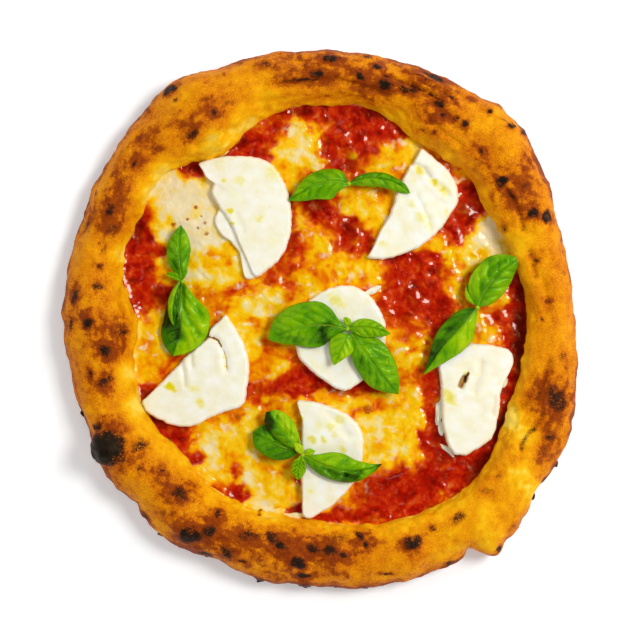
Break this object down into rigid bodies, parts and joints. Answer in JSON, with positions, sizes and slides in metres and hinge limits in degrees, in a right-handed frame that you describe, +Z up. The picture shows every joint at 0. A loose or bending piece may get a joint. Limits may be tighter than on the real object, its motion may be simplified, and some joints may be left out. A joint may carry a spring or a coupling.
{
  "type": "margherita pizza",
  "caption": "Whole round wood-fired pizza with a puffed charred rim, tomato sauce, melted cheese pools, fresh mozzarella slices and basil sprigs laid on top.",
  "frame": {"origin": "middle of the flat underside, below the middle of the outline", "axes": "+Z up out of the toppings, +X to the right and +Y away from the diner as the pizza is served"},
  "size_m": [0.2935, 0.3066, 0.0307],
  "materials": {
    "baked_dough": "baked wheat dough, dry skin, browned and charred in spots",
    "tomato_sauce": "wet crushed tomato with oil",
    "melted_cheese": "melted cheese with oil and tomato in it, wet shine",
    "fresh_mozzarella": "fresh curd cheese, moist and soft",
    "basil_leaf": "fresh leaf with a waxy shine"
  },
  "bodies": {
    "root": {"crust": "baked_dough", "tomato_sauce": "tomato_sauce", "melted_cheese_upper_left": "melted_cheese", "melted_cheese_top": "melted_cheese", "melted_cheese_middle_left": "melted_cheese", "melted_cheese_right": "melted_cheese", "melted_cheese_lower_left": "melted_cheese", "melted_cheese_lower_right": "melted_cheese", "mozzarella_under_upper_left": "fresh_mozzarella", "mozzarella_upper_left": "fresh_mozzarella", "mozzarella_upper_right": "fresh_mozzarella", "mozzarella_middle": "fresh_mozzarella", "mozzarella_left": "fresh_mozzarella", "mozzarella_right": "fresh_mozzarella", "mozzarella_lower": "fresh_mozzarella", "basil_top": "basil_leaf", "basil_left": "basil_leaf", "basil_right": "basil_leaf", "basil_middle": "basil_leaf", "basil_lower": "basil_leaf"}
  },
  "joints": []
}
